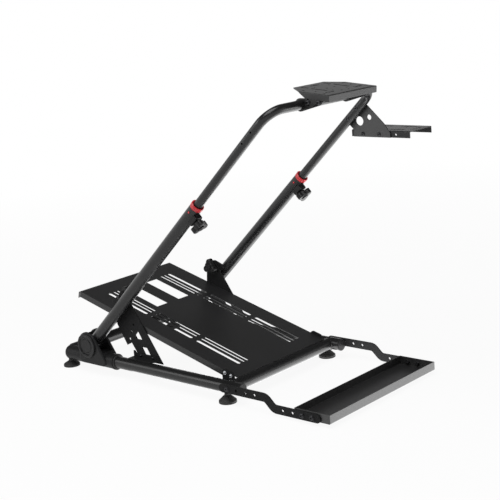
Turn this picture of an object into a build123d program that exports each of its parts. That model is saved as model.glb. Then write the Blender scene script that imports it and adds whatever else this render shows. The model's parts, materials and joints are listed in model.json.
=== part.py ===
from build123d import *
import math
import os

# Racing wheel stand, millimetres, +Z up, user sits on the -Y side, shifter on +X.
# Lengths below are laid out from the middle plane, the floor and the collar line,
# and the finished pieces are shifted so that the box's bottom centre is the origin.

# Base frame
track = 246.0            # middle plane to each side rail
rail_r = 20.0
rail_wall = 2.0
rail_front_y = -120.0
foot_h = 30.0            # floor to the underside of the frame
front_tube_y = -76.0
front_foot_y = -58.0
socket_gap = 0.1         # slack of a tube in its socket

# Corner joints
pivot_y = 545.0
pivot_z = 98.0
cheek_r = 45.0
cheek_foot_r = 16.0      # lower corners of the cheeks
cheek_front_y = 477.0
cheek_rear_y = 574.0
clevis_gap = 43.0        # between the two cheeks
cheek_t = 8.0
barrel_r = 25.5          # barrel along the rail's axis
barrel_past = 22.0       # barrel's end behind the rear tube's axis
barrel_round = 20.0
socket_front_y = 432.0
socket_depth = 48.0
bead_r = 27.0            # bead at the mouth of the rail socket
bead_w = 6.0
joint_round = 5.0
clevis_clear = 3.0       # arm hub to the bottom of the clevis
clevis_floor = 2.0       # clevis floor over the barrel
rear_tube_y = 660.0
rear_tube_z = 56.0
rear_tube_depth = 26.0   # tube inside its socket
rear_socket_r = 23.0
rear_socket_w = 36.0     # from the rail's axis inwards
rear_socket_round = 4.0

# Pivot pins
pin_r = 12.0
pin_fit = 0.06
cover_r = 41.0
cover_rim_r = 34.0       # inner edge of the raised rim
cover_rim_h = 6.1
cover_rim_round = 2.5
cover_groove_out_r = 30.0
cover_groove_in_r = 24.0
cover_groove_h = 2.0
cover_disc_r = 22.0
cover_disc_h = 3.8
pin_nut_r = 17.0
pin_nut_t = 5.0

# Feet
rear_foot_back = 12.0    # rear feet behind the rear tube's axis
foot_r = 28.0
foot_rim_h = 7.0
foot_round = 3.0
foot_neck_r = 9.0
foot_neck_h = 5.0
stem_r = 6.0
stem_h = 12.0
stem_hole_h = 13.0

# Rail end caps
cap_t = 4.0
cap_plug = 12.0
cap_round = 2.5

# Arms
arm_tilt = 42.9          # degrees above the floor
arm_r = 20.0
arm_wall = 2.0
arm_len = 739.0          # pivot to the top of the lower tube
hub_r = 30.0
hub_side_gap = 0.3

# Collars and clamps
collar_r = 20.6
collar_h = 13.0
collar_edge = 1.2
collar_recess_r = 16.5
collar_recess_h = 3.0
spigot_len = 34.0
spigot_gap = 0.1
collar_fit = 0.06
clamp_below_top = 32.0   # clamp centre under the tube's top end
clamp_w = 30.0
clamp_l = 36.0
clamp_out = 32.0         # clamp face from the arm axis
clamp_round = 4.0
clamp_taper = 3.0

# Star knobs
knob_r = 28.0
knob_t = 17.0
knob_lobe_r = 11.0
knob_lobes = 3
knob_hub_r = 18.5
knob_root_r = 13.5
knob_neck_r = 11.0
knob_neck_h = 6.0
knob_edge = 2.5
knob_cap_r = 12.0
knob_cap_h = 1.6
bolt_r = 5.0
bolt_fit = 0.06
bolt_end_gap = 1.0       # clamp bolt's end from the arm

# Upper tube
upper_r = 14.0
upper_wall = 2.0
upper_bottom = 580.0     # along the arm from the pivot
upper_top = 1168.0
bend_r = 55.0

# Braces
brace_t = 4.0
brace_gap = 0.3          # brace from the plate it is bolted to, and from the arm lug
brace_foot_z = 62.0
brace_front_y = 245.0
brace_front_lean = 56.2  # degrees
brace_rear_y = 406.0
brace_rear_z = 105.0
brace_rear_lean = 59.0
brace_shoulder_z = 172.0
brace_top_s = 189.0      # rear end of the top edge, along the arm
brace_neck_y = 360.0
brace_neck_z = 82.0
brace_step = 22.0
brace_back = 44.0        # brace top edge behind the arm axis
brace_knob_s = 220.0
brace_knob_back = 33.0
brace_hole_r = 4.5
brace_hole_y = 391.0
brace_hole_z = 128.0
brace_hole_count = 3
brace_hole_dy = -12.0
brace_hole_dz = 26.0
brace_win_w = 25.0
brace_win_h = 28.0
brace_win_cut_h = 12.0   # rear side of the upper window, under its cut corner
brace_win_low_y = 309.0
brace_win_low_z = 80.0
brace_win_high_y = 344.0
brace_win_high_z = 132.0
bracket_front_y = 247.0
bracket_rear_y = 376.0
bracket_top_z = 86.0
bracket_t = 3.0
bracket_reach = 30.0
bracket_nose = 27.0
bracket_tab = 6.0

# Arm lugs, notched so that the arm swings off a loosened knob bolt
lug_t = 10.0
lug_low_s = 180.0
lug_high_s = 256.0
lug_back = 44.0
lug_notch_slack = 1.0

# Pedal plate
plate_inset = 32.0       # plate edge inside the rail's axis
plate_t = 2.0
plate_front_y = -77.0
plate_front_z = 72.2
plate_tilt = 15.1
plate_len = 732.0
plate_flange = 20.0
plate_flange_start = 24.0
plate_rear_lip = 26.0
plate_bend_r = 9.0
slot_first = 56.0
slot_len = 186.0
slot_pitch = 208.0
slot_groups = 3
wide_slot_x = 142.0
wide_slot_w = 12.0
narrow_slot_xs = (105.0, 121.0)
narrow_slot_w = 7.0
window_x = 51.0
window_w = 50.0
window_len = 160.0
window_start = 492.0
ear_t = 5.0
ear_low_z = 58.0
ear_lobe_r = 12.0
ear_bolt_r = 4.0
ear_bolt_vs = (23.0, 48.0)   # along the plate from its front edge
ear_bolt_drop = 4.0      # under the plate's upper face

# Caster tray and its arms
tray_arm_t = 4.5
tray_arm_h = 27.0
tray_arm_rear_y = -62.0
tray_arm_bend_y = -235.0
tray_arm_low_y = -265.0
tray_arm_front_y = -424.0
tray_arm_high_z = 53.0
tray_arm_low_z = 24.0
tray_hole_r = 4.5
tray_hole_pitch = 36.5
tray_high_hole_y = -81.5
tray_low_hole_y = -298.0
tray_holes = 4
tray_bend_r = 12.0
tray_rear_y = -340.0
tray_front_y = -470.0
tray_low_z = 13.5
tray_high_z = 41.0
tray_t = 2.0
tray_corner = 4.0

# Wheel plate
deck_half = 112.0
deck_t = 3.0
deck_tilt = 5.5
deck_front_fore = 40.0   # front edge before and above the pivot bolt
deck_front_rise = 20.5
deck_depth = 163.0
deck_side = 108.0
deck_chamfer = 42.0
deck_lip = 19.5
deck_flange_end = 4.0    # side flange's height at its rear end
deck_tab_back = 84.0
deck_tab_low = 44.0
deck_tab_front = 32.0
deck_tab_cut = 6.0
deck_bolt_r = 4.0
deck_bolt_fit = 0.06
deck_pivot_fore = 69.4   # pivot bolt before and above the cross bar's axis
deck_pivot_rise = 7.9
deck_slot_arm = 37.5     # pivot bolt to the bolt in the curved slot
deck_rear_up = 8.0       # degrees of tilt each way
deck_rear_down = 10.0
deck_slot_slack = 0.6
deck_head_r = 8.0
deck_head_t = 4.5
ear_gap = 0.3
wheel_ear_t = 5.0
wheel_ear_tube_r = 19.0
wheel_ear_bolt_r = 9.0
wheel_hole_r = 3.3
wheel_square = 66.0
wheel_slot_x = 52.0
wheel_slot_len = 58.0
wheel_slot_w = 8.0
wheel_centre = 82.0      # front edge to the middle of the hole pattern
deck_bend = 2.5
deck_seam_w = 2.0        # seam behind the front lip
deck_seam_d = 1.5
corner_hole_r = 4.5
corner_holes = ((94.0, 106.0), (98.0, 28.0))   # across and back from the front edge
small_hole_r = 3.5
small_holes = ((16.0, 30.0), (82.0, 72.0), (18.0, 82.0))
front_slot_x = 66.0
front_slot_y = 34.0
front_slot_len = 40.0
rear_slot_x = 52.0
rear_slot_y = 136.0
rear_slot_len = 30.0
middle_slot_y = 140.0
middle_slot_len = 36.0

# Shifter mount
gusset_t = 4.0
gusset_gap = 0.2
gusset_low = 160.0       # along the leg under the cross bar's axis
gusset_high = 66.0
gusset_bolt = 133.0
gusset_bolt_pitch = 48.5
gusset_back = 8.0
gusset_nose_fore = 126.0   # before the shifter plate's rear edge, and above its top
gusset_nose_rise = 22.0
gusset_toe_fore = 148.0
gusset_toe_drop = 7.0
gusset_foot_drop = 21.0
gusset_heel_fore = 10.0
gusset_heel_rise = 2.0
gusset_big_r = 14.5
gusset_big_fore = 35.0
gusset_big_rise = 28.0
gusset_small_r = 8.5
gusset_small_fore = 72.0
gusset_small_rise = 40.5
mount_hole_r = 3.3
shift_w = 118.7
shift_t = 3.0
shift_lip = 21.0
shift_rear_behind = 106.6   # rear edge behind the cross bar's axis
shift_top_drop = 129.1
shift_len = 217.0
shift_bend = 4.0
shift_bolt_first = 46.0  # bolts in the inner lip, from its rear end
shift_bolt_pitch = 60.0
shift_bolts = 3
shift_bolt_drop = 11.5
shift_slot_len = 60.0
shift_slot_w = 8.0
shift_slot_span = 64.0
shift_slot_pitch = 90.0
shift_hole_span = 40.0
shift_cross_len = 54.0
shift_cross_pitch = 184.0

# Worked out from the sizes above
rail_z = foot_h + rail_r
plate_half = track - plate_inset
joint_low_z = rail_z - barrel_r
barrel_end_y = rear_tube_y + barrel_past
rear_foot_y = rear_tube_y + rear_foot_back
cheek_in = track - clevis_gap / 2 - cheek_t
cheek_out = track + clevis_gap / 2 + cheek_t
brace_in = plate_half + brace_gap
brace_out = brace_in + brace_t
arm_cos = math.cos(math.radians(arm_tilt))
arm_sin = math.sin(math.radians(arm_tilt))
left_end = -(cheek_out + cover_rim_h)
right_end = track + upper_r + gusset_gap + gusset_t + gusset_gap + shift_w
rear_end = max(barrel_end_y, rear_tube_y + rear_socket_r, rear_foot_y + foot_r)
shift_x0 = right_end - shift_w
bar_y = pivot_y - upper_top * arm_cos
bar_z = pivot_z + upper_top * arm_sin
deck_pivot_y = bar_y - deck_pivot_fore
deck_pivot_z = bar_z + deck_pivot_rise
deck_front_y = deck_pivot_y - deck_front_fore
deck_front_z = deck_pivot_z + deck_front_rise
shift_rear_y = bar_y + shift_rear_behind
shift_front_y = shift_rear_y - shift_len
shift_top_z = bar_z - shift_top_drop
origin_x = (left_end + right_end) / 2
origin_y = (tray_front_y + rear_end) / 2

# The arm plane: x stays x, y runs up the arm from the pivot, z points to the front underside.
arm_plane = Plane(origin=(0, pivot_y, pivot_z), x_dir=(1, 0, 0), z_dir=(0, -arm_sin, -arm_cos))
# The pedal plate's plane: y runs from the front edge to the rear edge.
pedal_plane = Plane(origin=(0, plate_front_y, plate_front_z)) * Rot(plate_tilt, 0, 0)
# The wheel plate's plane: y runs from the front edge to the rear edge.
deck_plane = Plane(origin=(0, deck_front_y, deck_front_z)) * Rot(deck_tilt, 0, 0)


def rod(radius, length, start, direction):
    return Plane(origin=start, z_dir=direction) * Cylinder(
        radius, length, align=(Align.CENTER, Align.CENTER, Align.MIN))


def pipe(radius, wall, length, start, direction):
    return rod(radius, length, start, direction) - rod(radius - wall, length, start, direction)


def side_slab(profile, x_low, x_high):
    return extrude(Plane.YZ.offset(x_low) * profile, x_high - x_low, dir=(1, 0, 0))


def disc(y, z, radius):
    return Pos(y, z) * Circle(radius)


def on_arm(s, back):
    return (pivot_y - s * arm_cos + back * arm_sin, pivot_z + s * arm_sin + back * arm_cos)


def pair(name, left):
    return {f"left_{name}": left, f"right_{name}": mirror(left, about=Plane.YZ)}


def make_rail():
    length = socket_front_y + socket_depth - rail_front_y
    rail = pipe(rail_r, rail_wall, length, (-track, rail_front_y, rail_z), (0, 1, 0))
    stem_hole = rod(stem_r + socket_gap, rail_r, (-track, front_foot_y, rail_z), (0, 0, -1))
    return rail - stem_hole


def make_rail_cap():
    cap = rod(rail_r, cap_t, (-track, rail_front_y, rail_z), (0, -1, 0))
    cap = fillet(cap.faces().sort_by(Axis.Y)[0].edges(), cap_round)
    plug = rod(rail_r - rail_wall - socket_gap, cap_plug, (-track, rail_front_y, rail_z), (0, 1, 0))
    return cap + plug


def make_rear_cross_tube():
    reach = track - rear_socket_w + rear_tube_depth
    return pipe(rail_r, rail_wall, 2 * reach, (-reach, rear_tube_y, rear_tube_z), (1, 0, 0))


def make_front_cross_tube():
    reach = track - stem_r
    tube = pipe(rail_r, rail_wall, 2 * reach, (-reach, front_tube_y, rail_z), (1, 0, 0))
    for x in (-track, track):
        tube -= rod(rail_r, 4 * rail_r, (x, front_tube_y - 2 * rail_r, rail_z), (0, 1, 0))
    return tube


def make_corner_joint():
    outline = make_hull([
        *disc(pivot_y, pivot_z, cheek_r).edges(),
        *disc(cheek_front_y, rail_z, cheek_foot_r).edges(),
        *disc(cheek_rear_y, rail_z, cheek_foot_r).edges(),
    ])
    body = side_slab(outline, -cheek_out, -cheek_in)
    body = fillet(body.faces().sort_by(Axis.X)[0].edges(), joint_round)
    mouth = (-track, socket_front_y, rail_z)
    barrel = rod(barrel_r, barrel_end_y - socket_front_y, mouth, (0, 1, 0))
    body += fillet(barrel.faces().sort_by(Axis.Y)[-1].edges(), barrel_round)
    body += rod(bead_r, bead_w, mouth, (0, 1, 0))
    socket = rod(rear_socket_r, rear_socket_w, (-track, rear_tube_y, rear_tube_z), (1, 0, 0))
    body += fillet(socket.faces().sort_by(Axis.X)[0].edges(), rear_socket_round)
    body -= rod(rail_r + socket_gap, socket_depth, mouth, (0, 1, 0))
    socket_end = (rear_socket_w - track, rear_tube_y, rear_tube_z)
    body -= rod(rail_r + socket_gap, rear_tube_depth, socket_end, (-1, 0, 0))
    slot_r = hub_r + clevis_clear
    floor_z = rail_z + barrel_r + clevis_floor
    slot = disc(pivot_y, pivot_z, slot_r) + Polygon(
        (pivot_y + slot_r, pivot_z),
        (pivot_y + slot_r, pivot_z + 2 * cheek_r),
        (socket_front_y, pivot_z + 2 * cheek_r),
        (socket_front_y, floor_z),
        (pivot_y - hub_r, floor_z),
        align=None)
    body -= side_slab(slot, -track - clevis_gap / 2, -track + clevis_gap / 2)
    body -= rod(pin_r + socket_gap, cheek_out - cheek_in, (-cheek_out, pivot_y, pivot_z), (1, 0, 0))
    return body - rod(stem_r + socket_gap, stem_hole_h, (-track, rear_foot_y, joint_low_z), (0, 0, 1))


def make_pivot_pin():
    axis_out = (-cheek_out, pivot_y, pivot_z)
    shaft = rod(pin_r, cheek_out - cheek_in, axis_out, (1, 0, 0))
    profile = Polygon(
        (0, 0), (cover_r, 0), (cover_r, cover_rim_h), (cover_rim_r, cover_rim_h),
        (cover_groove_out_r, cover_groove_h), (cover_groove_in_r, cover_groove_h),
        (cover_disc_r, cover_disc_h), (0, cover_disc_h), align=None)
    for radius in (cover_r, cover_rim_r):
        corner = profile.vertices().sort_by_distance((radius, cover_rim_h))[0]
        profile = fillet(corner, cover_rim_round)
    cover = Plane(origin=axis_out, z_dir=(-1, 0, 0)) * revolve(Plane.XZ * profile, Axis.Z)
    hexagon = Pos(pivot_y, pivot_z) * RegularPolygon(pin_nut_r, 6)
    nut = side_slab(hexagon, -cheek_in, -cheek_in + pin_nut_t)
    return shaft + cover + nut


def make_foot(y, frame_z):
    top = frame_z - socket_gap
    profile = Polygon(
        (0, 0), (foot_r, 0), (foot_r, foot_rim_h), (foot_neck_r, top - foot_neck_h),
        (foot_neck_r, top), (stem_r, top), (stem_r, top + stem_h), (0, top + stem_h),
        align=None)
    rim = profile.vertices().sort_by_distance((foot_r, foot_rim_h))[0]
    profile = fillet(rim, foot_round)
    return Pos(-track, y, 0) * revolve(Plane.XZ * profile, Axis.Z)


def make_lower_arm():
    tube = pipe(arm_r, arm_wall, arm_len, (-track, 0, 0), (0, 1, 0))
    hub_w = clevis_gap - 2 * hub_side_gap
    arm = arm_plane * (tube + rod(hub_r, hub_w, (-track - hub_w / 2, 0, 0), (1, 0, 0)))
    bore = rod(pin_r + pin_fit, 2 * hub_w, (-track - hub_w, pivot_y, pivot_z), (1, 0, 0))
    return arm - bore


def make_collar():
    bore_r = upper_r + collar_fit
    ring = rod(collar_r, collar_h, (-track, arm_len, 0), (0, 1, 0))
    ring = chamfer(ring.edges().filter_by(GeomType.CIRCLE), collar_edge)
    top = arm_len + collar_h
    ring -= rod(collar_recess_r, collar_recess_h, (-track, top, 0), (0, -1, 0))
    spigot = rod(arm_r - arm_wall - spigot_gap, spigot_len, (-track, arm_len, 0), (0, -1, 0))
    bore = rod(bore_r, 2 * spigot_len + 2 * collar_h, (-track, arm_len - 2 * spigot_len, 0), (0, 1, 0))
    return arm_plane * (ring + spigot - bore)


def make_clamp_block():
    clamp_s = arm_len - clamp_below_top
    block = Pos(-track, clamp_s, clamp_out / 2) * Box(clamp_w, clamp_l, clamp_out)
    block = fillet(block.edges().filter_by(Axis.Z), clamp_round)
    block = chamfer(block.faces().sort_by(Axis.Z)[-1].edges(), clamp_taper)
    block -= rod(arm_r, 2 * clamp_l, (-track, clamp_s - clamp_l, 0), (0, 1, 0))
    block -= rod(bolt_r + bolt_fit, clamp_out, (-track, clamp_s, 0), (0, 0, 1))
    return arm_plane * block


def make_knob(shaft_len):
    reach = knob_r - knob_lobe_r
    shape = Circle(knob_hub_r)
    for turn in range(knob_lobes):
        tip = Pos(reach, 0) * Circle(knob_lobe_r)
        arm = make_hull([*Circle(knob_root_r).edges(), *tip.edges()])
        shape += Rot(0, 0, 360 / knob_lobes * turn) * arm
    head = extrude(Plane.XY.offset(knob_neck_h) * shape, knob_t)
    head = chamfer(head.faces().sort_by(Axis.Z)[-1].edges(), knob_edge)
    neck = Cylinder(knob_neck_r, knob_neck_h + knob_edge, align=(Align.CENTER, Align.CENTER, Align.MIN))
    cap = rod(knob_cap_r, knob_t + knob_cap_h, (0, 0, knob_neck_h), (0, 0, 1))
    shaft = rod(bolt_r, shaft_len, (0, 0, 0), (0, 0, -1))
    return head + neck + cap + shaft


def make_clamp_knob():
    clamp_s = arm_len - clamp_below_top
    seat = Pos(-track, clamp_s, clamp_out + brace_gap)
    return arm_plane * seat * make_knob(clamp_out - arm_r - bolt_end_gap)


def make_brace_knob():
    y, z = on_arm(brace_knob_s, brace_knob_back)
    seat = Plane(origin=(-brace_in + brace_gap, y, z), z_dir=(1, 0, 0))
    return seat * make_knob(brace_gap + brace_t + brace_gap + lug_t)


def gusset_bolt_spots():
    low = upper_top - gusset_bolt
    return (low, low + gusset_bolt_pitch)


def make_upper_tube():
    path = FilletPolyline(
        (-track, upper_bottom), (-track, upper_top), (track, upper_top), (track, upper_bottom),
        radius=bend_r)
    section = Plane(origin=path @ 0, z_dir=path % 0) * (Circle(upper_r) - Circle(upper_r - upper_wall))
    tube = sweep(section, path=path)
    for s in gusset_bolt_spots():
        tube -= rod(mount_hole_r, 3 * track, (-1.5 * track, s, 0), (1, 0, 0))
    return arm_plane * tube


def lean_point(y, z, lean, target_back):
    run, rise = math.cos(math.radians(lean)), math.sin(math.radians(lean))
    start = (y - pivot_y) * arm_sin + (z - pivot_z) * arm_cos
    step = (target_back - start) / (run * arm_sin + rise * arm_cos)
    return (y + run * step, z + rise * step)


def make_brace():
    slope = math.tan(math.radians(brace_rear_lean))
    shoulder_y = brace_rear_y + (brace_shoulder_z - brace_rear_z) / slope
    outline = Polygon(
        (brace_front_y, brace_foot_z),
        lean_point(brace_front_y, brace_foot_z, brace_front_lean, brace_back),
        on_arm(brace_top_s, brace_back),
        (shoulder_y, brace_shoulder_z),
        (brace_rear_y, brace_rear_z),
        (brace_rear_y - brace_step, brace_rear_z + brace_step / 2),
        (brace_neck_y, brace_neck_z),
        (brace_neck_y - (brace_neck_z - brace_foot_z) / slope, brace_foot_z),
        align=None)
    windows = (
        (brace_win_low_y, brace_win_low_z, brace_win_h),
        (brace_win_high_y, brace_win_high_z, brace_win_cut_h))
    half = brace_win_w / 2
    for y, z, rear_h in windows:
        outline -= Polygon(
            (y - half, z), (y + half, z), (y + half + rear_h / slope, z + rear_h),
            (y - half + brace_win_h / slope, z + brace_win_h), align=None)
    for index in range(brace_hole_count):
        y = brace_hole_y + index * brace_hole_dy
        outline -= disc(y, brace_hole_z + index * brace_hole_dz, brace_hole_r)
    outline -= disc(*on_arm(brace_knob_s, brace_knob_back), bolt_r + bolt_fit)
    return side_slab(outline, -brace_out, -brace_in)


def make_brace_bracket():
    low = rail_z + rail_r + brace_gap
    wall_x = -brace_out - brace_gap
    tab_top = bracket_top_z + bracket_tab
    side = Polygon(
        (bracket_front_y, low), (bracket_rear_y, low), (bracket_rear_y, tab_top),
        (bracket_rear_y - bracket_tab, tab_top), (bracket_rear_y - 2 * bracket_tab, bracket_top_z),
        (bracket_front_y + bracket_nose, bracket_top_z), align=None)
    sole = Polygon(
        (wall_x, bracket_front_y), (wall_x, bracket_rear_y), (wall_x - bracket_reach, bracket_rear_y),
        (wall_x - bracket_reach, bracket_front_y + bracket_nose), align=None)
    wall = side_slab(side, wall_x - bracket_t, wall_x)
    return wall + extrude(Plane.XY.offset(low) * sole, bracket_t, dir=(0, 0, 1))


def make_arm_lug():
    notch_r = bolt_r + lug_notch_slack
    swing = math.degrees(math.atan2(brace_knob_back, brace_knob_s))
    outline = Polygon(
        (lug_low_s, 0), (lug_high_s, 0), (lug_high_s - lug_back / 2, -lug_back), (lug_low_s, -lug_back),
        align=None)
    notch = Pos(brace_knob_s, -brace_knob_back) * Rot(0, 0, -swing) * (
        Circle(notch_r) + Pos(0, -lug_back / 2) * Rectangle(2 * notch_r, lug_back))
    face_x = -brace_out - brace_gap
    lug_frame = Plane(origin=(face_x, 0, 0), x_dir=(0, 1, 0), z_dir=(1, 0, 0))
    lug = extrude(lug_frame * (outline - notch), lug_t, dir=(-1, 0, 0))
    lug -= rod(arm_r, 2 * lug_high_s, (-track, 0, 0), (0, 1, 0))
    return arm_plane * lug


def make_pedal_plate():
    flange_run = plate_len - plate_bend_r - plate_flange_start
    section = Polygon(
        (0, 0), (plate_len, 0), (plate_len, -plate_rear_lip), (plate_len - plate_t, -plate_rear_lip),
        (plate_len - plate_t, -plate_t), (0, -plate_t), align=None)
    corners = ((plate_len, 0, plate_bend_r), (plate_len - plate_t, -plate_t, plate_bend_r - plate_t))
    for y, z, radius in corners:
        section = fillet(section.vertices().sort_by_distance((y, z))[0], radius)
    sheet = side_slab(section, -plate_half, plate_half)
    for side in (-1, 1):
        x = side * (plate_half - plate_t / 2)
        sheet += Pos(x, plate_flange_start + flange_run / 2, -plate_flange / 2) * Box(
            plate_t, flange_run, plate_flange)
    for group in range(slot_groups):
        mid = slot_first + slot_len / 2 + group * slot_pitch
        for side in (-1, 1):
            sheet -= slot_cut(side * wide_slot_x, mid, slot_len, wide_slot_w)
            for x in narrow_slot_xs:
                sheet -= slot_cut(side * x, mid, slot_len, narrow_slot_w)
    for side in (-1, 1):
        sheet -= Pos(side * window_x, window_start + window_len / 2, 0) * Box(
            window_w, window_len, 4 * plate_t)
    return pedal_plane * sheet


def slot_cut(x, y, length, width):
    return Pos(x, y, -2 * width) * extrude(SlotOverall(length, width, rotation=90), 4 * width)


def ear_bolt_spots():
    run, rise = math.cos(math.radians(plate_tilt)), math.sin(math.radians(plate_tilt))
    return [(plate_front_y + v * run + ear_bolt_drop * rise, plate_front_z + v * rise - ear_bolt_drop * run)
            for v in ear_bolt_vs]


def make_plate_ear():
    front, rear = ear_bolt_spots()
    outline = make_hull([*disc(*front, ear_lobe_r).edges(), *disc(*rear, ear_lobe_r).edges()])
    outline += Polygon(
        (front[0] - ear_lobe_r, ear_low_z), (rear[0] + ear_lobe_r, ear_low_z),
        (rear[0] + ear_lobe_r, rear[1]), (front[0] - ear_lobe_r, front[1]), align=None)
    for spot in (front, rear):
        outline -= disc(*spot, ear_bolt_r)
    ear = side_slab(outline, -plate_half - brace_gap - ear_t, -plate_half - brace_gap)
    return ear - rod(rail_r, 2 * track, (-track, front_tube_y, rail_z), (1, 0, 0))


def make_tray_arm():
    path = FilletPolyline(
        (tray_arm_rear_y, tray_arm_high_z), (tray_arm_bend_y, tray_arm_high_z),
        (tray_arm_low_y, tray_arm_low_z), (tray_arm_front_y, tray_arm_low_z),
        radius=tray_bend_r + tray_arm_h / 2)
    outline = offset(path, tray_arm_h / 2, kind=Kind.ARC, side=Side.BOTH)
    outline = make_face(outline)
    for index in range(tray_holes):
        step = index * tray_hole_pitch
        outline -= disc(tray_high_hole_y - step, tray_arm_high_z, tray_hole_r)
        outline -= disc(tray_low_hole_y - step, tray_arm_low_z, tray_hole_r)
    inner = -track - rail_r
    return side_slab(outline, inner - tray_arm_t, inner)


def make_caster_tray():
    half = track + rail_r - socket_gap
    depth = tray_rear_y - tray_front_y
    mid = (tray_rear_y + tray_front_y) / 2
    height = tray_high_z - tray_low_z
    block = Pos(0, mid, tray_low_z + height / 2) * Box(2 * half, depth, height)
    hollow = Pos(0, mid, tray_low_z + tray_t + height / 2) * Box(
        2 * (half - tray_t), depth - 2 * tray_t, height)
    block = fillet(block.edges().filter_by(Axis.X).group_by(Axis.Z)[0], tray_corner)
    hollow = fillet(hollow.edges().filter_by(Axis.X).group_by(Axis.Z)[0], tray_corner - tray_t)
    tray = block - hollow
    for index in range(2, tray_holes):
        y = tray_low_hole_y - index * tray_hole_pitch
        tray -= rod(tray_hole_r, 4 * half, (-2 * half, y, tray_arm_low_z), (1, 0, 0))
    return tray


def deck_bolt_spots():
    return ((deck_pivot_y, deck_pivot_z), (deck_pivot_y + deck_slot_arm, deck_pivot_z))


def make_wheel_ear():
    tube = on_arm(upper_top, 0)
    spots = deck_bolt_spots()
    rims = [disc(*tube, wheel_ear_tube_r)] + [disc(*spot, wheel_ear_bolt_r) for spot in spots]
    outline = make_hull([edge for rim in rims for edge in rim.edges()])
    outline -= disc(*tube, upper_r + socket_gap)
    for spot in spots:
        outline -= disc(*spot, deck_bolt_r)
    outer = -deck_half + deck_t + ear_gap
    return side_slab(outline, outer, outer + wheel_ear_t)


def make_deck_bolts():
    bolts = []
    face_x = -deck_half - ear_gap
    shank_len = ear_gap + deck_t + ear_gap + wheel_ear_t
    for y, z in deck_bolt_spots():
        shank = rod(deck_bolt_r, shank_len, (face_x, y, z), (1, 0, 0))
        head = rod(deck_head_r, deck_head_t, (face_x, y, z), (-1, 0, 0))
        bolts.append(shank + head)
    return bolts


def make_wheel_plate():
    outline = Polygon(
        (-deck_half, 0), (deck_half, 0), (deck_half, deck_side),
        (deck_half - deck_chamfer, deck_depth), (deck_chamfer - deck_half, deck_depth),
        (-deck_half, deck_side), align=None)
    for x in (-wheel_square / 2, wheel_square / 2):
        for y in (-wheel_square / 2, wheel_square / 2):
            outline -= Pos(x, wheel_centre + y) * Circle(wheel_hole_r)
    for side in (-1, 1):
        slot = SlotOverall(wheel_slot_len, wheel_slot_w, rotation=90)
        outline -= Pos(side * wheel_slot_x, wheel_centre) * slot
        outline -= Pos(side * front_slot_x, front_slot_y) * SlotOverall(front_slot_len, wheel_slot_w)
        rear_slot = SlotOverall(rear_slot_len, wheel_slot_w, rotation=90)
        outline -= Pos(side * rear_slot_x, rear_slot_y) * rear_slot
        for x, y in corner_holes:
            outline -= Pos(side * x, y) * Circle(corner_hole_r)
        for x, y in small_holes:
            outline -= Pos(side * x, y) * Circle(small_hole_r)
    outline -= Pos(0, middle_slot_y) * SlotOverall(middle_slot_len, wheel_slot_w)
    sheet = extrude(outline, -deck_t)
    lip = Pos(0, deck_t / 2, -deck_lip / 2) * Box(2 * deck_half, deck_t, deck_lip)
    flange = Polygon(
        (0, 0), (0, -deck_lip), (deck_tab_front, -deck_lip),
        (deck_tab_back - deck_tab_front / 2, -deck_tab_low),
        (deck_tab_back, -deck_tab_low + deck_tab_cut),
        (deck_tab_back, -deck_lip), (deck_side, -deck_flange_end),
        (deck_side, 0), align=None)
    sheet += lip
    for x in (-deck_half, deck_half - deck_t):
        sheet += side_slab(flange, x, x + deck_t)
    top_edges = sheet.edges().group_by(Axis.Z)[-1]
    front_edge = top_edges.sort_by(Axis.Y)[0]
    side_edges = [top_edges.sort_by(Axis.X)[0], top_edges.sort_by(Axis.X)[-1]]
    sheet = fillet([front_edge, *side_edges], deck_bend)
    seam = Pos(0, deck_t + deck_seam_w / 2, 0) * Box(4 * deck_half, deck_seam_w, 2 * deck_seam_d)
    deck = deck_plane * (sheet - seam)
    sweep_angle = deck_rear_up + deck_rear_down
    arc = CenterArc((deck_pivot_y, deck_pivot_z), deck_slot_arm, -deck_rear_up, sweep_angle)
    holes = disc(deck_pivot_y, deck_pivot_z, deck_bolt_r + deck_bolt_fit)
    holes += SlotArc(arc, 2 * (deck_bolt_r + deck_slot_slack))
    return deck - side_slab(holes, -2 * deck_half, 2 * deck_half)


def shifter_bolt_spots():
    z = shift_top_z - shift_bolt_drop
    return [(shift_rear_y - shift_bolt_first - index * shift_bolt_pitch, z) for index in range(shift_bolts)]


def make_shifter_gusset():
    outline = Polygon(
        on_arm(upper_top - gusset_high, gusset_back), on_arm(upper_top - gusset_low, gusset_back),
        (shift_rear_y - gusset_heel_fore, shift_top_z + gusset_heel_rise),
        (shift_rear_y - gusset_heel_fore, shift_top_z - gusset_foot_drop),
        (shift_rear_y - gusset_toe_fore, shift_top_z - gusset_foot_drop),
        (shift_rear_y - gusset_toe_fore, shift_top_z - gusset_toe_drop),
        (shift_rear_y - gusset_nose_fore, shift_top_z + gusset_nose_rise), align=None)
    outline -= disc(shift_rear_y - gusset_big_fore, shift_top_z + gusset_big_rise, gusset_big_r)
    outline -= disc(shift_rear_y - gusset_small_fore, shift_top_z + gusset_small_rise, gusset_small_r)
    for s in gusset_bolt_spots():
        outline -= disc(*on_arm(s, 0), mount_hole_r)
    for spot in shifter_bolt_spots()[:2]:
        outline -= disc(*spot, mount_hole_r)
    inner = track + upper_r + gusset_gap
    return side_slab(outline, inner, inner + gusset_t)


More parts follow.
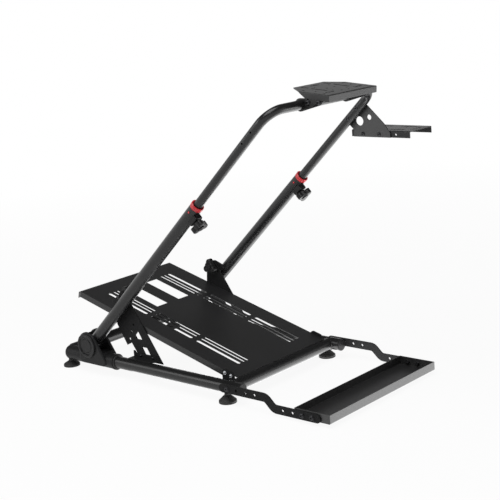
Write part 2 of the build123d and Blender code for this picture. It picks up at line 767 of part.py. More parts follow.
def make_shifter_plate():
    section = Polygon(
        (0, 0), (shift_w, 0), (shift_w, -shift_lip), (shift_w - shift_t, -shift_lip),
        (shift_w - shift_t, -shift_t), (shift_t, -shift_t), (shift_t, -shift_lip), (0, -shift_lip),
        align=None)
    bends = (
        (0, 0, shift_bend), (shift_w, 0, shift_bend),
        (shift_t, -shift_t, shift_bend - shift_t), (shift_w - shift_t, -shift_t, shift_bend - shift_t))
    for x, z, radius in bends:
        section = fillet(section.vertices().sort_by_distance((x, z))[0], radius)
    end = Plane(origin=(shift_x0, shift_front_y, shift_top_z), x_dir=(1, 0, 0), z_dir=(0, -1, 0))
    plate = extrude(end * section, shift_len, dir=(0, 1, 0))
    mid = Pos(shift_x0 + shift_w / 2, shift_front_y + shift_len / 2, shift_top_z - 2 * shift_t)
    cuts = Sketch()
    for dy in (-1, 1):
        cuts += Pos(0, dy * shift_cross_pitch / 2) * SlotOverall(shift_cross_len, shift_slot_w)
        for dx in (-1, 1):
            slot = SlotOverall(shift_slot_len, shift_slot_w, rotation=90)
            cuts += Pos(dx * shift_slot_span / 2, dy * shift_slot_pitch / 2) * slot
            cuts += Pos(dx * shift_hole_span / 2, dy * shift_slot_pitch / 2) * Circle(mount_hole_r)
    plate -= mid * extrude(cuts, 4 * shift_t)
    for y, z in shifter_bolt_spots():
        plate -= rod(mount_hole_r, 4 * shift_t, (shift_x0 - shift_t, y, z), (1, 0, 0))
    return plate


def make_all():
    nodes = {}
    nodes.update(pair("rail", make_rail()))
    nodes.update(pair("rail_cap", make_rail_cap()))
    nodes["rear_cross_tube"] = make_rear_cross_tube()
    nodes["front_cross_tube"] = make_front_cross_tube()
    nodes.update(pair("corner_joint", make_corner_joint()))
    nodes.update(pair("pivot_pin", make_pivot_pin()))
    nodes.update(pair("front_foot", make_foot(front_foot_y, foot_h)))
    nodes.update(pair("rear_foot", make_foot(rear_foot_y, joint_low_z)))
    nodes["pedal_plate"] = make_pedal_plate()
    nodes.update(pair("plate_ear", make_plate_ear()))
    nodes.update(pair("brace", make_brace()))
    nodes.update(pair("brace_bracket", make_brace_bracket()))
    nodes.update(pair("brace_knob", make_brace_knob()))
    nodes.update(pair("tray_arm", make_tray_arm()))
    nodes["caster_tray"] = make_caster_tray()
    nodes.update(pair("lower_arm", make_lower_arm()))
    nodes.update(pair("arm_lug", make_arm_lug()))
    nodes.update(pair("collar", make_collar()))
    nodes.update(pair("clamp_block", make_clamp_block()))
    nodes.update(pair("clamp_knob", make_clamp_knob()))
    nodes["upper_tube"] = make_upper_tube()
    nodes.update(pair("wheel_ear", make_wheel_ear()))
    left_bolts = make_deck_bolts()
    nodes["left_deck_bolts"] = Compound(children=left_bolts)
    nodes["right_deck_bolts"] = Compound(children=[mirror(bolt, about=Plane.YZ) for bolt in left_bolts])
    nodes["wheel_plate"] = make_wheel_plate()
    nodes["shifter_gusset"] = make_shifter_gusset()
    nodes["shifter_plate"] = make_shifter_plate()
    return nodes


os.makedirs("parts", exist_ok=True)
for name, shape in make_all().items():
    export_step(Pos(-origin_x, -origin_y, 0) * shape, f"parts/{name}.step")
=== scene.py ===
import bmesh
import bpy
import json
import math
from mathutils import Matrix, Vector


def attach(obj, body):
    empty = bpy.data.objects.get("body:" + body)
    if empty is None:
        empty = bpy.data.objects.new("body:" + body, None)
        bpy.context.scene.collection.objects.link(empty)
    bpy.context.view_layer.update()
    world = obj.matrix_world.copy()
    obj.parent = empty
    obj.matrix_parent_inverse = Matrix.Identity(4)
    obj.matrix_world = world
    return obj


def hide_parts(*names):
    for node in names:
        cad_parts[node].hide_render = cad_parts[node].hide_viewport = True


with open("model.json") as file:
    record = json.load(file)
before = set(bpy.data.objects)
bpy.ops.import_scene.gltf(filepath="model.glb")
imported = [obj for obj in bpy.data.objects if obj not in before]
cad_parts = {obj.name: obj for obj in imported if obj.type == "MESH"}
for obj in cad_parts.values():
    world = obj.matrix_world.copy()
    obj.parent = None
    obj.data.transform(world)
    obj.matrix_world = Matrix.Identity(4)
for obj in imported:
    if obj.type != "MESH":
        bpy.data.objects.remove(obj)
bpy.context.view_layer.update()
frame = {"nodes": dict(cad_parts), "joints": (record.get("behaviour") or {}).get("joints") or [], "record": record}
nodes = frame["nodes"]
joints = {joint["name"]: joint for joint in frame["joints"]}
sides = {"left": -1, "right": 1}
mm = 0.001


class Wire:
    # a socket that takes part in sums, and makes the other nodes of its tree
    def __init__(self, tree, socket=None):
        self.tree = tree
        self.socket = socket

    def add(self, kind, settings, sockets, output=0):
        made = self.tree.nodes.new(kind)
        for name, value in settings.items():
            if name == "stops":
                while len(made.color_ramp.elements) < len(value):
                    made.color_ramp.elements.new(1.0)
                for element, (position, grey) in zip(made.color_ramp.elements, value):
                    element.position = position
                    element.color = (grey, grey, grey, 1)
            else:
                setattr(made, name, value)
        for name, value in sockets.items():
            if isinstance(value, Wire):
                self.tree.links.new(value.socket, made.inputs[name])
            else:
                made.inputs[name].default_value = value
        return Wire(self.tree, made.outputs[output] if made.outputs else None)

    def calc(self, operation, first, second):
        return self.add("ShaderNodeMath", {"operation": operation}, {0: first, 1: second})

    def __add__(self, other):
        return self.calc("ADD", self, other)

    def __radd__(self, other):
        return self.calc("ADD", other, self)

    def __sub__(self, other):
        return self.calc("SUBTRACT", self, other)

    def __rsub__(self, other):
        return self.calc("SUBTRACT", other, self)

    def __mul__(self, other):
        return self.calc("MULTIPLY", self, other)

    def __rmul__(self, other):
        return self.calc("MULTIPLY", other, self)


mixSocket = {"factor": 0, "dark": 6, "pale": 7, "result": 2}   # of a Mix node set to colours


def mixTones(wire, amount, dark, pale):
    # a colour between two, by a mask from 0 to 1
    return wire.add("ShaderNodeMix", {"data_type": "RGBA"}, {
        mixSocket["factor"]: amount,
        mixSocket["dark"]: (*dark, 1),
        mixSocket["pale"]: (*pale, 1)}, mixSocket["result"])


def openTree(owner):
    owner.use_nodes = True
    owner.node_tree.nodes.clear()
    return Wire(owner.node_tree)


def startFinish(name):
    material = bpy.data.materials.new(name)
    wire = openTree(material)
    place = wire.add("ShaderNodeTexCoord", {}, {}, "Object")
    return material, wire, place


def endFinish(wire, sockets):
    shader = wire.add("ShaderNodeBsdfPrincipled", {}, sockets)
    wire.add("ShaderNodeOutputMaterial", {}, {"Surface": shader})


def noise(wire, place, scale, detail):
    return wire.add("ShaderNodeTexNoise", {}, {"Vector": place, "Scale": scale, "Detail": detail})


def relief(wire, height, strength, distance):
    # bump over a whole pixel, so that a fine grain calms down from afar
    return wire.add("ShaderNodeBump", {}, {
        "Height": height, "Strength": strength, "Distance": distance, "Filter Width": 1.0})


def uneven(middle, *swings):
    # roughness about a middle value, with the patterns that change it and how much each does
    total = middle - sum(amount for pattern, amount in swings) / 2
    for pattern, amount in swings:
        total = pattern * amount + total
    return total


# in every finish a noise is its scale and detail, and relief is its strength and its depth in metres

# satin powder coat on the tubes: orange peel, faint cloudy sheen
tubeCoat = {"dark": (0.0085, 0.0085, 0.0088), "pale": (0.0125, 0.0125, 0.0130),
            "roughness": 0.28, "cloudSwing": 0.10, "speckSwing": 0.06, "specular": 0.4,
            "cloud": (9.0, 3.0), "peel": (620.0, 2.0), "speck": (2600.0, 1.0), "speckDepth": 0.4,
            "relief": (0.25, 0.0004)}


def makeTubeCoat():
    material, wire, place = startFinish("satinPowderCoat")
    cloud = noise(wire, place, *tubeCoat["cloud"])
    peel = noise(wire, place, *tubeCoat["peel"])
    speck = noise(wire, place, *tubeCoat["speck"])
    swings = [(cloud, tubeCoat["cloudSwing"]), (speck, tubeCoat["speckSwing"])]
    endFinish(wire, {
        "Base Color": mixTones(wire, cloud, tubeCoat["dark"], tubeCoat["pale"]),
        "Roughness": uneven(tubeCoat["roughness"], *swings),
        "Specular IOR Level": tubeCoat["specular"],
        "Normal": relief(wire, peel + speck * tubeCoat["speckDepth"], *tubeCoat["relief"])})
    return material


# matte powder coat on the pressed sheets: fine sand texture, kinds with their roughness and specular level
sheetCoat = {"dark": (0.0130, 0.0130, 0.0134), "pale": (0.0185, 0.0185, 0.0190),
             "kinds": {"matte": (0.38, 0.42), "dull": (0.48, 0.07), "tray": (0.42, 0.80),
                       "gusset": (0.38, 0.85), "wheel": (0.38, 0.54), "shifter": (0.38, 0.35)},
             "cloudSwing": 0.08, "grainSwing": 0.06,
             "cloud": (7.0, 4.0), "grain": (1500.0, 1.0), "relief": (0.35, 0.0004)}


def makeSheetCoat(kind):
    material, wire, place = startFinish(kind + "PowderCoat")
    roughness, specular = sheetCoat["kinds"][kind]
    cloud = noise(wire, place, *sheetCoat["cloud"])
    grain = noise(wire, place, *sheetCoat["grain"])
    swings = [(cloud, sheetCoat["cloudSwing"]), (grain, sheetCoat["grainSwing"])]
    endFinish(wire, {
        "Base Color": mixTones(wire, cloud, sheetCoat["dark"], sheetCoat["pale"]),
        "Roughness": uneven(roughness, *swings),
        "Specular IOR Level": specular,
        "Normal": relief(wire, grain, *sheetCoat["relief"])})
    return material


# moulded plastic with a pebbled grain: corner joints, pivot covers, knobs and their caps,
# kinds with their roughness, specular level and tone
moulding = {"dark": (0.0110, 0.0110, 0.0115), "pale": (0.0160, 0.0160, 0.0166),
            "kinds": {"moulded": (0.385, 0.15, 1.0), "cover": (0.205, 0.20, 1.0),
                      "knob": (0.365, 0.25, 0.6), "cap": (0.285, 0.25, 0.6)},
            "cloudSwing": 0.10, "pebbleSwing": 0.05,
            "cloud": (14.0, 3.0), "pebble": 900.0, "relief": (0.30, 0.0003)}


def makeMoulding(kind):
    material, wire, place = startFinish(kind + "Black")
    roughness, specular, tone = moulding["kinds"][kind]
    dark = [tone * value for value in moulding["dark"]]
    pale = [tone * value for value in moulding["pale"]]
    cloud = noise(wire, place, *moulding["cloud"])
    pebble = wire.add("ShaderNodeTexVoronoi", {}, {"Vector": place, "Scale": moulding["pebble"]})
    swings = [(cloud, moulding["cloudSwing"]), (pebble, moulding["pebbleSwing"])]
    endFinish(wire, {
        "Base Color": mixTones(wire, cloud, dark, pale),
        "Roughness": uneven(roughness, *swings),
        "Specular IOR Level": specular,
        "Normal": relief(wire, pebble, *moulding["relief"])})
    return material


# rubber of the feet and the rail seals: dull, its colour paler towards the floor
rubber = {"dark": (0.0120, 0.0120, 0.0120), "pale": (0.0330, 0.0320, 0.0310),
          "roughness": 0.68, "cloudSwing": 0.12, "paleTop": 0.018, "paleFade": 0.75,
          "cloud": (60.0, 4.0), "grain": (1800.0, 2.0), "relief": (0.40, 0.0004)}


def makeRubber():
    material, wire, place = startFinish("footRubber")
    cloud = noise(wire, place, *rubber["cloud"])
    grain = noise(wire, place, *rubber["grain"])
    height = wire.add("ShaderNodeSeparateXYZ", {}, {"Vector": place}, "Z")
    climb = wire.add("ShaderNodeMapRange", {}, {"Value": height, "From Max": rubber["paleTop"]})
    # the rubber's colour is paler in the lowest few millimetres, near the floor, and darker higher up
    paleBelow = cloud * (1 - climb * rubber["paleFade"])
    endFinish(wire, {
        "Base Color": mixTones(wire, paleBelow, rubber["dark"], rubber["pale"]),
        "Roughness": uneven(rubber["roughness"], (cloud, rubber["cloudSwing"])),
        "Normal": relief(wire, grain, *rubber["relief"])})
    return material


# red plastic of the collars and lock buttons
redPlastic = {"dark": (0.43, 0.020, 0.027), "pale": (0.60, 0.036, 0.047),
              "roughness": 0.30, "cloudSwing": 0.12,
              "cloud": (90.0, 3.0), "grain": (2200.0, 2.0), "relief": (0.20, 0.0003)}


def makeRedPlastic():
    material, wire, place = startFinish("redPlastic")
    cloud = noise(wire, place, *redPlastic["cloud"])
    grain = noise(wire, place, *redPlastic["grain"])
    endFinish(wire, {
        "Base Color": mixTones(wire, cloud, redPlastic["dark"], redPlastic["pale"]),
        "Roughness": uneven(redPlastic["roughness"], (cloud, redPlastic["cloudSwing"])),
        "Normal": relief(wire, grain, *redPlastic["relief"])})
    return material


# bolts and nuts, kinds with their dark and pale tone
boltSteel = {"kinds": {"blackOxide": ((0.030, 0.030, 0.032), (0.060, 0.060, 0.064)),
                       "brightZinc": ((0.42, 0.43, 0.45), (0.62, 0.63, 0.65))},
             "roughness": 0.34, "cloudSwing": 0.14, "metallic": 0.9,
             "cloud": (240.0, 3.0), "scratch": (3200.0, 2.0), "relief": (0.15, 0.0002)}


def makeSteel(kind):
    material, wire, place = startFinish(kind)
    cloud = noise(wire, place, *boltSteel["cloud"])
    scratch = noise(wire, place, *boltSteel["scratch"])
    endFinish(wire, {
        "Base Color": mixTones(wire, cloud, *boltSteel["kinds"][kind]),
        "Roughness": uneven(boltSteel["roughness"], (cloud, boltSteel["cloudSwing"])),
        "Metallic": boltSteel["metallic"],
        "Normal": relief(wire, scratch, *boltSteel["relief"])})
    return material


finishes = {
    "black_powder_coat": makeTubeCoat(),
    "sheet_black": makeSheetCoat("matte"),
    "moulded_black": makeMoulding("moulded"),
    "pivot_cover": makeMoulding("cover"),
    "foot_rubber": makeRubber(),
    "red_collar": makeRedPlastic(),
    "knob_plastic": makeMoulding("knob"),
    "black_bolts": makeSteel("blackOxide"),
}
zinc = makeSteel("brightZinc")
capBlack = makeMoulding("cap")
dullCoat = makeSheetCoat("dull")
dullParts = ("brace", "brace_bracket", "arm_lug", "plate_ear", "tray_arm")
ownFinish = {side + "_" + part: dullCoat for side in sides for part in dullParts}
ownFinish["caster_tray"] = makeSheetCoat("tray")
ownFinish["shifter_gusset"] = makeSheetCoat("gusset")
ownFinish["wheel_plate"] = makeSheetCoat("wheel")
ownFinish["shifter_plate"] = makeSheetCoat("shifter")
for subpart in frame["record"]["subparts"]:
    slots = nodes[subpart["node"]].data.materials
    slots.clear()
    slots.append(ownFinish.get(subpart["node"], finishes[subpart["material_slot"]]))
print("finishes set on", len(nodes), "nodes")

# where the pieces go, in millimetres: across from the middle plane, back from the collar line and up from
# the floor, or along an arm from its pivot
pivot = Vector(joints["arm_fold"]["pos_m"])
armUp = Vector(joints["height_slide"]["axis"])
pivotBack = 545.0
track = 246.0    # middle plane to each rail and arm
railUp = 50.0    # floor to the axis of a rail


def standPoint(across, back, up):
    return Vector((pivot.x + across * mm, pivot.y + (back - pivotBack) * mm, up * mm))


def armPoint(across, along):
    return pivot + Vector((across * mm, 0, 0)) + armUp * (along * mm)


mergeGap = 0.01 * mm


def turnAround(bm, geom, steps):
    # once round about Z
    bmesh.ops.spin(bm, geom=geom, cent=(0, 0, 0), axis=(0, 0, 1), angle=math.tau, steps=steps, use_merge=True)
    bmesh.ops.remove_doubles(bm, verts=bm.verts, dist=mergeGap)


def spinProfile(bm, profile, steps):
    # a line of radius and height in millimetres, turned about Z
    points = [bm.verts.new((radius * mm, 0, height * mm)) for radius, height in profile]
    lines = [bm.edges.new(ends) for ends in zip(points, points[1:])]
    turnAround(bm, points + lines, steps)


def lift(bm, made, rise):
    # moves what an extrusion made, in millimetres
    points = [part for part in made["geom"] if isinstance(part, bmesh.types.BMVert)]
    bmesh.ops.translate(bm, vec=(0, 0, rise * mm), verts=points)


def keepTemplate(bm, name):
    # open ends are closed, and the mesh is kept to be stamped
    bmesh.ops.holes_fill(bm, edges=[edge for edge in bm.edges if edge.is_boundary])
    bmesh.ops.recalc_face_normals(bm, faces=bm.faces)
    mesh = bpy.data.meshes.new(name)
    bm.to_mesh(mesh)
    bm.free()
    return mesh


def spinTemplate(name, profile, steps):
    bm = bmesh.new()
    spinProfile(bm, profile, steps)
    return keepTemplate(bm, name)


def stamp(bm, template, place, facing, size=1.0, turn=0.0):
    # one copy of a template, its own Z along facing
    count = len(bm.verts)
    bm.from_mesh(template)
    bm.verts.ensure_lookup_table()
    aim = Vector(facing).to_track_quat("Z", "Y").to_matrix().to_4x4()
    turned = aim @ Matrix.Rotation(math.radians(turn), 4, "Z") @ Matrix.Scale(size, 4)
    bmesh.ops.transform(bm, matrix=Matrix.Translation(place) @ turned, verts=bm.verts[count:])


def stampRow(bm, template, row, sign, facing):
    # copies at the spots of a row on one side of the stand, each at its own turn
    for back, up, turn in row["spots"]:
        stamp(bm, template, standPoint(sign * row["face"], back, up), (facing, 0, 0), row["size"], turn)


def addPiece(bm, name, finish, body, sharp=32):
    bmesh.ops.recalc_face_normals(bm, faces=bm.faces)
    for face in bm.faces:
        face.smooth = True
    mesh = bpy.data.meshes.new(name)
    bm.to_mesh(mesh)
    bm.free()
    mesh.set_sharp_from_angle(angle=math.radians(sharp))
    mesh.materials.append(finish)
    piece = bpy.data.objects.new(name, mesh)
    bpy.context.scene.collection.objects.link(piece)
    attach(piece, body)
    return piece


hexagon = 6   # sides of a bolt's socket and of a nut

# button head bolt on a washer, with a hexagon socket
buttonBolt = {"profile": ((9.0, 0.0), (9.0, 1.2), (8.6, 1.6), (7.2, 1.6),
                          (7.2, 2.3), (6.7, 4.0), (5.6, 5.2), (4.0, 5.8)),
              "socketRadius": 3.1, "socketDepth": 2.8, "steps": 24}


def makeButtonBolt():
    bm = bmesh.new()
    spinProfile(bm, buttonBolt["profile"], buttonBolt["steps"])
    top = buttonBolt["profile"][-1][1] * mm
    rim = [edge for edge in bm.edges if edge.is_boundary and edge.verts[0].co.z > top / 2]
    known = set(bm.edges)
    bmesh.ops.create_circle(bm, segments=hexagon, radius=buttonBolt["socketRadius"] * mm,
                            matrix=Matrix.Translation((0, 0, top)))
    flats = [edge for edge in bm.edges if edge not in known]
    bmesh.ops.subdivide_edges(bm, edges=flats, cuts=buttonBolt["steps"] // hexagon - 1)
    flats = [edge for edge in bm.edges if edge not in known]
    bmesh.ops.bridge_loops(bm, edges=rim + flats)
    lift(bm, bmesh.ops.extrude_edge_only(bm, edges=flats), -buttonBolt["socketDepth"])
    return keepTemplate(bm, "buttonBolt")


# hexagon nut on a washer, with the bolt's end standing out of it
hexNut = {"washer": ((9.0, 0.0), (9.0, 1.2), (8.6, 1.6), (4.4, 1.6)), "washerSteps": 24,
          "corner": 7.5, "height": 6.4, "chamfer": 0.7, "rimSlack": 0.1,
          "boltEnd": ((4.0, 7.0), (4.0, 9.4), (3.4, 10.2), (0.0, 10.2)), "endSteps": 18}


def makeHexNut():
    bm = bmesh.new()
    low = hexNut["washer"][-1][1]
    bmesh.ops.create_circle(bm, cap_ends=True, segments=hexagon, radius=hexNut["corner"] * mm,
                            matrix=Matrix.Translation((0, 0, low * mm)))
    lift(bm, bmesh.ops.extrude_face_region(bm, geom=bm.faces[:]), hexNut["height"])
    rimUp = (low + hexNut["height"] - hexNut["rimSlack"]) * mm
    rim = [edge for edge in bm.edges if min(end.co.z for end in edge.verts) > rimUp]
    bmesh.ops.bevel(bm, geom=rim, offset=hexNut["chamfer"] * mm, offset_type="OFFSET", affect="EDGES",
                    segments=2, profile=0.5, material=-1)
    spinProfile(bm, hexNut["washer"], hexNut["washerSteps"])
    spinProfile(bm, hexNut["boltEnd"], hexNut["endSteps"])
    return keepTemplate(bm, "hexNut")


boltTemplate = makeButtonBolt()
nutTemplate = makeHexNut()

# bolts of the base, through the tray arms, the bracket walls and the plate's ears: back, up and turn of each
trayBolts = {"face": 270.5, "size": 0.95,
             "spots": ((-81.5, 53.0, 53.0), (-371.0, 24.0, 24.0), (-407.5, 24.0, 24.0))}
trayNuts = {"face": 263.9, "size": 0.8, "spots": ((-371.0, 24.0, 49.0), (-407.5, 24.0, 12.5))}
bracketBolts = {"face": 221.6, "size": 0.62, "spots": ((286.0, 78.6, 46.0), (342.0, 78.6, 42.0))}
earBolts = {"face": 219.3, "size": 0.72, "spots": ((-53.8, 74.3, 6.2), (-29.6, 80.8, 30.4))}


def addBaseBolts():
    for side, sign in sides.items():
        bm = bmesh.new()
        stampRow(bm, boltTemplate, trayBolts, sign, sign)
        stampRow(bm, nutTemplate, trayNuts, sign, -sign)
        stampRow(bm, boltTemplate, bracketBolts, sign, sign)
        addPiece(bm, side + "_base_bolts", finishes["black_bolts"], "base")
        bm = bmesh.new()
        stampRow(bm, boltTemplate, earBolts, sign, sign)
        addPiece(bm, side + "_ear_bolts", zinc, "base")


# bolts of the shifter mount: through the right leg, where a spot is along and turn, and through the
# inner lip of the plate
legBolts = {"face": 233.3, "nutFace": 264.2, "size": 0.8, "spots": ((1035.0, 15.0), (1083.5, 3.5))}
lipBolts = {"face": 260.2, "size": 0.75, "spots": ((-250.0, 752.5, 50.0), (-310.0, 752.5, 50.0))}
lipNuts = {"face": 267.4, "size": 0.75, "spots": lipBolts["spots"]}


def addShifterBolts():
    bm = bmesh.new()
    right = sides["right"]
    for along, turn in legBolts["spots"]:
        stamp(bm, boltTemplate, armPoint(legBolts["face"], along), (-right, 0, 0), legBolts["size"], turn)
        stamp(bm, nutTemplate, armPoint(legBolts["nutFace"], along), (right, 0, 0), legBolts["size"], turn)
    stampRow(bm, boltTemplate, lipBolts, right, -right)
    stampRow(bm, nutTemplate, lipNuts, right, right)
    addPiece(bm, "shifter_bolts_visual", finishes["black_bolts"], "wheel_frame")


# the two bolts each side that the wheel plate tilts on and is locked with, on plain shanks with broken ends
deckBolts = {"face": 112.3, "size": 0.88, "spots": ((-380.0, 901.0, 40.0), (-342.5, 901.0, 17.5))}
deckNuts = {"face": 103.6, "size": 0.85, "spots": deckBolts["spots"]}
deckShank = {"radius": 4.0, "length": 8.9, "break": 0.3, "steps": 24}


def makeShank():
    wide = deckShank["radius"]
    narrow = wide - deckShank["break"]
    start = deckShank["break"]
    end = deckShank["length"] - deckShank["break"]
    profile = ((narrow, 0.0), (wide, start), (wide, end), (narrow, deckShank["length"]))
    return spinTemplate("boltShank", profile, deckShank["steps"])


def addDeckBolts():
    shankTemplate = makeShank()
    for side, sign in sides.items():
        bm = bmesh.new()
        stampRow(bm, boltTemplate, deckBolts, sign, sign)
        stampRow(bm, nutTemplate, deckNuts, sign, -sign)
        for spot in deckBolts["spots"]:
            stamp(bm, shankTemplate, standPoint(sign * deckBolts["face"], *spot[:2]), (-sign, 0, 0))
        name = side + "_deck_bolts_detailed"
        piece = addPiece(bm, name, finishes["black_bolts"], "wheel_frame")
        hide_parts(side + "_deck_bolts")


addBaseBolts()
addShifterBolts()
addDeckBolts()
print("bolts placed")

# red lock buttons on both flanks of each lower arm, under the collar
lockButton = {"along": 722.0, "out": 19.7, "steps": 28,
              "bezel": ((4.8, 0.0), (4.8, 0.8), (4.3, 1.2), (3.4, 1.2), (3.4, 0.4)),
              "button": ((3.2, 0.2), (3.2, 1.3), (2.7, 1.9), (1.6, 2.2), (0.0, 2.3))}


def addLockButtons():
    bezel = spinTemplate("buttonBezel", lockButton["bezel"], lockButton["steps"])
    button = spinTemplate("buttonDome", lockButton["button"], lockButton["steps"])
    for side, sign in sides.items():
        rims = bmesh.new()
        domes = bmesh.new()
        for flank in sides.values():
            place = armPoint(sign * track + flank * lockButton["out"], lockButton["along"])
            stamp(rims, bezel, place, (flank, 0, 0))
            stamp(domes, button, place, (flank, 0, 0))
        addPiece(rims, side + "_button_rims", finishes["knob_plastic"], "arms")
        addPiece(domes, side + "_lock_buttons", finishes["red_collar"], "arms")


# dark seal at the mouth of each rail socket
railSeal = {"back": 432.0, "steps": 48,
            "profile": ((20.06, 0.0), (24.4, 0.0), (25.0, -1.0), (25.0, -2.6), (23.4, -4.6), (20.06, -5.4))}


def addRailSeals():
    ring = (*railSeal["profile"], railSeal["profile"][0])
    seal = spinTemplate("railSeal", ring, railSeal["steps"])
    for side, sign in sides.items():
        bm = bmesh.new()
        stamp(bm, seal, standPoint(sign * track, railSeal["back"], railUp), (0, 1, 0))
        addPiece(bm, side + "_rail_seal", finishes["foot_rubber"], "base")


# glossier cap set in the face of each star knob, and a nut behind each brace
knobCap = {"profile": ((10.2, -0.4), (10.2, 0.5), (9.6, 1.1), (8.4, 1.1),
                       (8.0, 0.7), (7.2, 0.7), (6.6, 1.2), (0.0, 1.5)), "steps": 36,
           "clampRise": 56.9, "braceFace": 214.0, "braceRise": 24.6,
           "nutFace": 229.0, "nutSize": 0.95, "nutTurn": 20.0}


def addKnobCaps():
    cap = spinTemplate("knobCap", knobCap["profile"], knobCap["steps"])
    for side, sign in sides.items():
        clamp = joints[side + "_clamp_turn"]
        axis = Vector(clamp["axis"])
        bm = bmesh.new()
        stamp(bm, cap, Vector(clamp["pos_m"]) + axis * (knobCap["clampRise"] * mm), axis)
        addPiece(bm, side + "_clamp_knob_cap", capBlack, side + "_clamp_knob")
        seat = Vector(joints[side + "_brace_turn"]["pos_m"])
        seat.x = pivot.x + sign * (knobCap["braceFace"] - knobCap["braceRise"]) * mm
        bm = bmesh.new()
        stamp(bm, cap, seat, (-sign, 0, 0))
        addPiece(bm, side + "_brace_knob_cap", capBlack, side + "_brace_knob")
        seat.x = pivot.x + sign * knobCap["nutFace"] * mm
        bm = bmesh.new()
        stamp(bm, nutTemplate, seat, (sign, 0, 0), knobCap["nutSize"], knobCap["nutTurn"])
        addPiece(bm, side + "_brace_nut", finishes["black_bolts"], side + "_brace_knob")


# weld beads: rings where the wheel ears meet the cross bar, saddles where the front tube meets the rails
weldBead = {"ripples": 30, "rippleSteps": 4, "ripple": 0.10, "segments": 10, "sharp": 60,
            "earRadius": 14.7, "earThick": 2.2, "earAcross": 103.2, "barAlong": 1168.0,
            "saddleRadius": 20.2, "saddleThick": 2.4, "saddleBack": -76.0}


def makeWeld(radius, thick, saddle):
    # a ring whose bead swells and shrinks, bent by the saddle's depth
    bm = bmesh.new()
    lie = Matrix.Translation((radius * mm, 0, 0)) @ Matrix.Rotation(math.radians(90), 4, "X")
    bmesh.ops.create_circle(bm, segments=weldBead["segments"], radius=thick * mm, matrix=lie)
    turnAround(bm, bm.verts[:] + bm.edges[:], weldBead["ripples"] * weldBead["rippleSteps"])
    for vert in bm.verts:
        angle = math.atan2(vert.co.y, vert.co.x)
        core = Vector((math.cos(angle), math.sin(angle), 0)) * (radius * mm)
        swell = 1 + weldBead["ripple"] * math.sin(weldBead["ripples"] * angle)
        vert.co = core + (vert.co - core) * swell
        vert.co.z += saddle * mm * (1 - abs(math.cos(angle)))
    return keepTemplate(bm, "weldBead")


def addWelds():
    tubeBlack = finishes["black_powder_coat"]
    ring = makeWeld(weldBead["earRadius"], weldBead["earThick"], 0.0)
    bm = bmesh.new()
    for sign in sides.values():
        stamp(bm, ring, armPoint(sign * weldBead["earAcross"], weldBead["barAlong"]), (-sign, 0, 0))
    addPiece(bm, "ear_welds", tubeBlack, "wheel_frame", weldBead["sharp"])
    saddle = makeWeld(weldBead["saddleRadius"], weldBead["saddleThick"], weldBead["saddleRadius"])
    bm = bmesh.new()
    for sign in sides.values():
        across = sign * (track - weldBead["saddleRadius"])
        stamp(bm, saddle, standPoint(across, weldBead["saddleBack"], railUp), (sign, 0, 0))
    addPiece(bm, "front_tube_welds", tubeBlack, "base", weldBead["sharp"])


addLockButtons()
addRailSeals()
addKnobCaps()
addWelds()
print("buttons, seals, knob caps and welds placed")

# the photo's camera: place, lens and sensor in millimetres, angles in degrees, clip in metres
photoView = {"across": -2784.3, "back": -2527.1, "up": 1287.8,
             "azimuth": -47.479, "elevation": 13.031, "roll": -4.647,
             "lens": 88.235, "sensor": 36.0, "clipEnd": 60.0}


def makeCamera():
    azimuth = math.radians(photoView["azimuth"])
    elevation = math.radians(photoView["elevation"])
    level = math.cos(elevation)
    back = Vector((math.sin(azimuth) * level, -math.cos(azimuth) * level, math.sin(elevation)))
    roll = Matrix.Rotation(math.radians(photoView["roll"]), 3, back)
    right = roll @ Vector((0, 0, 1)).cross(back).normalized()
    up = back.cross(right)
    camera = bpy.data.objects.new("photoCamera", bpy.data.cameras.new("photoCamera"))
    camera.data.sensor_width = photoView["sensor"]
    camera.data.lens = photoView["lens"]
    camera.data.clip_end = photoView["clipEnd"]
    place = standPoint(photoView["across"], photoView["back"], photoView["up"])
    camera.matrix_world = Matrix.Translation(place) @ Matrix((right, up, back)).transposed().to_4x4()
    bpy.context.scene.collection.objects.link(camera)
    bpy.context.scene.camera = camera


# pale floor that keeps the shadow and is shown whiter far away, lengths in metres
stage = {"reach": 30.0, "segments": 96, "white": 0.92,
         "shownNear": 0.92, "shownFar": 1.0, "near": 0.9, "far": 4.0}


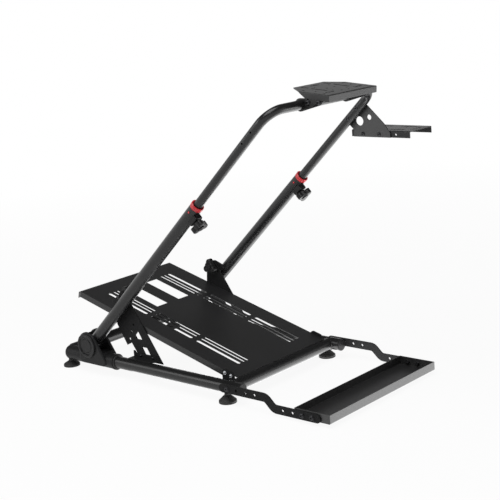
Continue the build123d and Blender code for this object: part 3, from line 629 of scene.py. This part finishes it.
def makeStage():
    bm = bmesh.new()
    bmesh.ops.create_circle(bm, cap_ends=True, segments=stage["segments"], radius=stage["reach"])
    mesh = bpy.data.meshes.new("floor")
    bm.to_mesh(mesh)
    bm.free()
    floor = bpy.data.objects.new("floor", mesh)
    bpy.context.scene.collection.objects.link(floor)
    material, wire, place = startFinish("paleFloor")
    white = stage["white"]
    seen = wire.add("ShaderNodeLightPath", {}, {}, "Is Camera Ray")
    glossy = wire.add("ShaderNodeLightPath", {}, {}, "Is Glossy Ray")
    through = wire.add("ShaderNodeLightPath", {}, {}, "Is Transmission Ray")
    lit = wire.add("ShaderNodeBsdfDiffuse", {}, {"Color": (white, white, white, 1)})
    glow = wire.add("ShaderNodeEmission", {}, {"Color": (1, 1, 1, 1), "Strength": 1.0})
    away = wire.add("ShaderNodeVectorMath", {"operation": "LENGTH"}, {0: place}, "Value")
    whiteness = wire.add("ShaderNodeMapRange", {}, {
        "Value": away, "From Min": stage["near"], "From Max": stage["far"],
        "To Min": stage["shownNear"], "To Max": stage["shownFar"]})
    shown = (seen + glossy + through) * whiteness
    surface = wire.add("ShaderNodeMixShader", {}, {0: shown, 1: lit, 2: glow})
    wire.add("ShaderNodeOutputMaterial", {}, {"Surface": surface})
    mesh.materials.append(material)


# soft lights in metres, three of them flat on the floor: place, aim, width, height, radiance
softboxes = {
    "floorNear": ((0.42, -0.45, 0.002), (0.42, -0.45, 1.0), 1.45, 1.45, 2.3),
    "floorFar": ((2.1, -2.2, 0.002), (2.1, -2.2, 1.0), 1.8, 1.8, 3.4),
    "floorRear": ((0.05, 0.28, 0.002), (0.05, 0.28, 1.0), 0.42, 0.42, 2.3),
    "leftRear": ((-2.6, 2.4, 1.9), (0.0, 0.1, 0.3), 1.6, 1.6, 3.0),
    "keyAbove": ((-1.3, -0.5, 3.8), (0.0, 0.0, 0.3), 3.0, 3.0, 4.0),
}


def makeLights():
    for name, (place, aim, width, height, radiance) in softboxes.items():
        data = bpy.data.lights.new(name, "AREA")
        data.shape = "RECTANGLE"
        data.size = width
        data.size_y = height
        data.energy = math.pi * width * height * radiance
        lamp = bpy.data.objects.new(name, data)
        lamp.location = place
        lamp.rotation_euler = (Vector(aim) - Vector(place)).to_track_quat("-Z", "Y").to_euler()
        lamp.visible_camera = False
        bpy.context.scene.collection.objects.link(lamp)


# the world's grey, from straight down at 0 to straight up at 1
skyStops = [(0.0, 1.0), (0.54, 1.0), (0.62, 0.68), (0.69, 0.24), (0.76, 0.08), (1.0, 0.06)]


def makeWorld():
    world = bpy.data.worlds.new("studio")
    wire = openTree(world)
    way = wire.add("ShaderNodeTexCoord", {}, {}, "Generated")
    height = wire.add("ShaderNodeSeparateXYZ", {}, {"Vector": way}, "Z")
    tone = wire.add("ShaderNodeValToRGB", {"stops": skyStops}, {"Fac": height * 0.5 + 0.5})
    shade = wire.add("ShaderNodeBackground", {}, {"Color": tone, "Strength": 1.0})
    wire.add("ShaderNodeOutputWorld", {}, {"Surface": shade})
    bpy.context.scene.world = world


makeCamera()
makeStage()
makeLights()
makeWorld()
bpy.context.scene.view_settings.view_transform = "Standard"
print("camera, stage and lights set")
